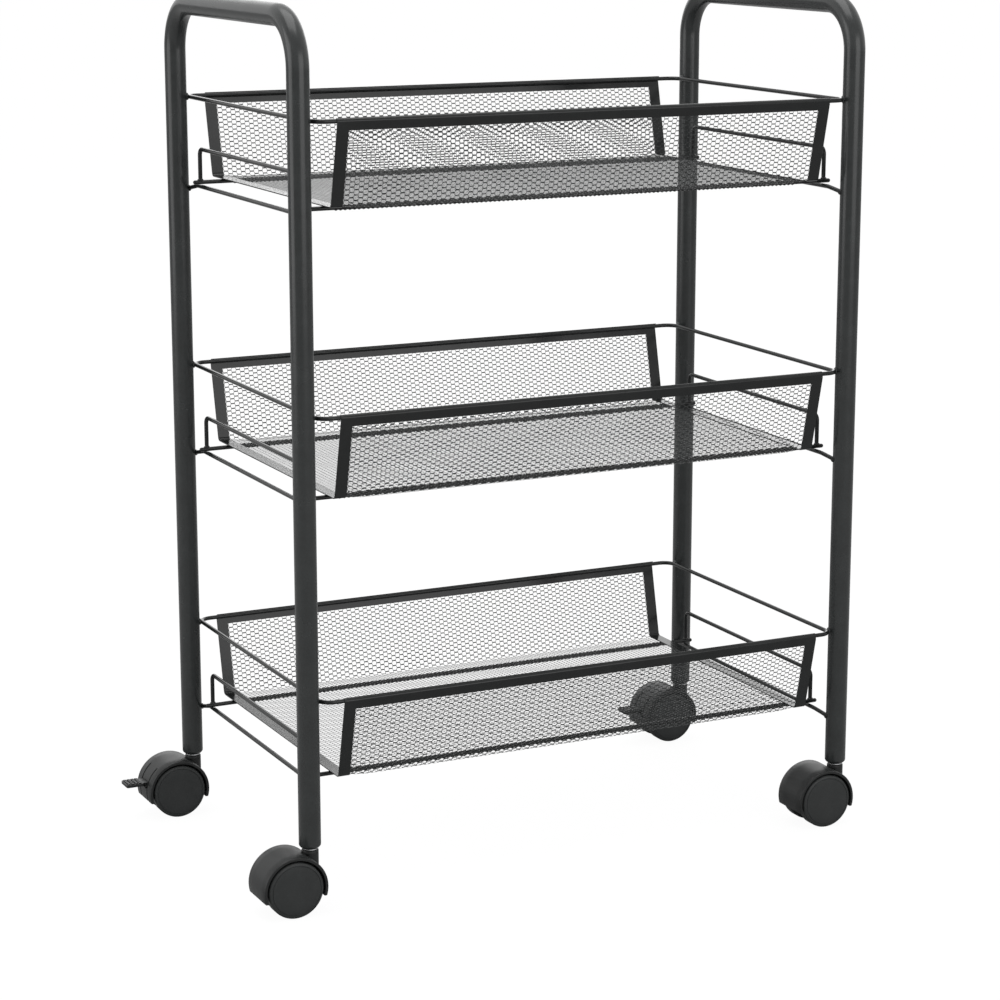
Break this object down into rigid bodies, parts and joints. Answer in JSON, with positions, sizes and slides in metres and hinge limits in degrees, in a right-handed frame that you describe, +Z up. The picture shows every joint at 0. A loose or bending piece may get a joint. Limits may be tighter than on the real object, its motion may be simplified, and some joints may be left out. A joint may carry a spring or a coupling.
{
  "type": "rolling utility cart",
  "caption": "Rolling cart with open mesh baskets hung one above another between two bent-tube side frames on swivel casters.",
  "frame": {"origin": "on the floor, under the middle of the whole cart", "axes": "+X along the cart towards its right end, +Y towards its back, +Z up"},
  "size_m": [0.5096, 0.2772, 0.64],
  "materials": {
    "powder_coat": "satin charcoal powder coat",
    "mesh_coat": "satin charcoal powder coat",
    "black_plastic": "satin moulded plastic",
    "bright_steel": "zinc plated"
  },
  "bodies": {
    "cart": {"side_frame_left": "powder_coat", "side_frame_right": "powder_coat", "rim_wire_top": "powder_coat", "edge_binding_top": "powder_coat", "mesh_tray_top": "mesh_coat", "floor_wire_top_front": "powder_coat", "floor_wire_top_back": "powder_coat", "guard_wire_top_left": "powder_coat", "support_wire_top_left": "powder_coat", "guard_wire_top_right": "powder_coat", "support_wire_top_right": "powder_coat", "rim_wire_middle": "powder_coat", "edge_binding_middle": "powder_coat", "mesh_tray_middle": "mesh_coat", "floor_wire_middle_front": "powder_coat", "floor_wire_middle_back": "powder_coat", "guard_wire_middle_left": "powder_coat", "support_wire_middle_left": "powder_coat", "guard_wire_middle_right": "powder_coat", "support_wire_middle_right": "powder_coat", "rim_wire_bottom": "powder_coat", "edge_binding_bottom": "powder_coat", "mesh_tray_bottom": "mesh_coat", "floor_wire_bottom_front": "powder_coat", "floor_wire_bottom_back": "powder_coat", "guard_wire_bottom_left": "powder_coat", "support_wire_bottom_left": "powder_coat", "guard_wire_bottom_right": "powder_coat", "support_wire_bottom_right": "powder_coat", "socket_bush_front_left": "black_plastic", "caster_stem_front_left": "bright_steel", "socket_bush_front_right": "black_plastic", "caster_stem_front_right": "bright_steel", "socket_bush_back_left": "black_plastic", "caster_stem_back_left": "bright_steel", "socket_bush_back_right": "black_plastic", "caster_stem_back_right": "bright_steel"},
    "caster_front_left": {"caster_hood_front_left": "black_plastic", "caster_axle_front_left": "bright_steel"},
    "wheel_front_left_a_body": {"wheel_front_left_a": "black_plastic"},
    "wheel_front_left_b_body": {"wheel_front_left_b": "black_plastic"},
    "caster_front_right": {"caster_hood_front_right": "black_plastic", "caster_axle_front_right": "bright_steel"},
    "wheel_front_right_a_body": {"wheel_front_right_a": "black_plastic"},
    "wheel_front_right_b_body": {"wheel_front_right_b": "black_plastic"},
    "caster_back_left": {"caster_hood_back_left": "black_plastic", "caster_axle_back_left": "bright_steel"},
    "wheel_back_left_a_body": {"wheel_back_left_a": "black_plastic"},
    "wheel_back_left_b_body": {"wheel_back_left_b": "black_plastic"},
    "brake_back_left": {"brake_lever_back_left": "black_plastic"},
    "caster_back_right": {"caster_hood_back_right": "black_plastic", "caster_axle_back_right": "bright_steel"},
    "wheel_back_right_a_body": {"wheel_back_right_a": "black_plastic"},
    "wheel_back_right_b_body": {"wheel_back_right_b": "black_plastic"},
    "brake_back_right": {"brake_lever_back_right": "black_plastic"}
  },
  "joints": [
    {"name": "swivel_front_left", "type": "hinge", "parent": "cart", "child": "caster_front_left", "pos_m": [-0.19725, -0.122, 0], "axis": [0, 0, 1], "continuous": true},
    {"name": "wheel_spin_front_left_a", "type": "hinge", "parent": "caster_front_left", "child": "wheel_front_left_a_body", "pos_m": [-0.21425, -0.122, 0.02089], "axis": [0, 1, 0], "continuous": true},
    {"name": "wheel_spin_front_left_b", "type": "hinge", "parent": "caster_front_left", "child": "wheel_front_left_b_body", "pos_m": [-0.21425, -0.122, 0.02089], "axis": [0, 1, 0], "continuous": true},
    {"name": "swivel_front_right", "type": "hinge", "parent": "cart", "child": "caster_front_right", "pos_m": [0.24675, -0.122, 0], "axis": [0, 0, 1], "continuous": true},
    {"name": "wheel_spin_front_right_a", "type": "hinge", "parent": "caster_front_right", "child": "wheel_front_right_a_body", "pos_m": [0.22975, -0.122, 0.02089], "axis": [0, 1, 0], "continuous": true},
    {"name": "wheel_spin_front_right_b", "type": "hinge", "parent": "caster_front_right", "child": "wheel_front_right_b_body", "pos_m": [0.22975, -0.122, 0.02089], "axis": [0, 1, 0], "continuous": true},
    {"name": "swivel_back_left", "type": "hinge", "parent": "cart", "child": "caster_back_left", "pos_m": [-0.19725, 0.122, 0], "axis": [0, 0, 1], "continuous": true},
    {"name": "wheel_spin_back_left_a", "type": "hinge", "parent": "caster_back_left", "child": "wheel_back_left_a_body", "pos_m": [-0.21425, 0.122, 0.02089], "axis": [0, 1, 0], "continuous": true},
    {"name": "wheel_spin_back_left_b", "type": "hinge", "parent": "caster_back_left", "child": "wheel_back_left_b_body", "pos_m": [-0.21425, 0.122, 0.02089], "axis": [0, 1, 0], "continuous": true},
    {"name": "brake_press_back_left", "type": "hinge", "parent": "caster_back_left", "child": "brake_back_left", "pos_m": [-0.22425, 0.122, 0.02799], "axis": [0, -1, 0], "range_deg": [0, 10]},
    {"name": "swivel_back_right", "type": "hinge", "parent": "cart", "child": "caster_back_right", "pos_m": [0.24675, 0.122, 0], "axis": [0, 0, 1], "continuous": true},
    {"name": "wheel_spin_back_right_a", "type": "hinge", "parent": "caster_back_right", "child": "wheel_back_right_a_body", "pos_m": [0.22975, 0.122, 0.02089], "axis": [0, 1, 0], "continuous": true},
    {"name": "wheel_spin_back_right_b", "type": "hinge", "parent": "caster_back_right", "child": "wheel_back_right_b_body", "pos_m": [0.22975, 0.122, 0.02089], "axis": [0, 1, 0], "continuous": true},
    {"name": "brake_press_back_right", "type": "hinge", "parent": "caster_back_right", "child": "brake_back_right", "pos_m": [0.21975, 0.122, 0.02799], "axis": [0, -1, 0], "range_deg": [0, 10]}
  ]
}
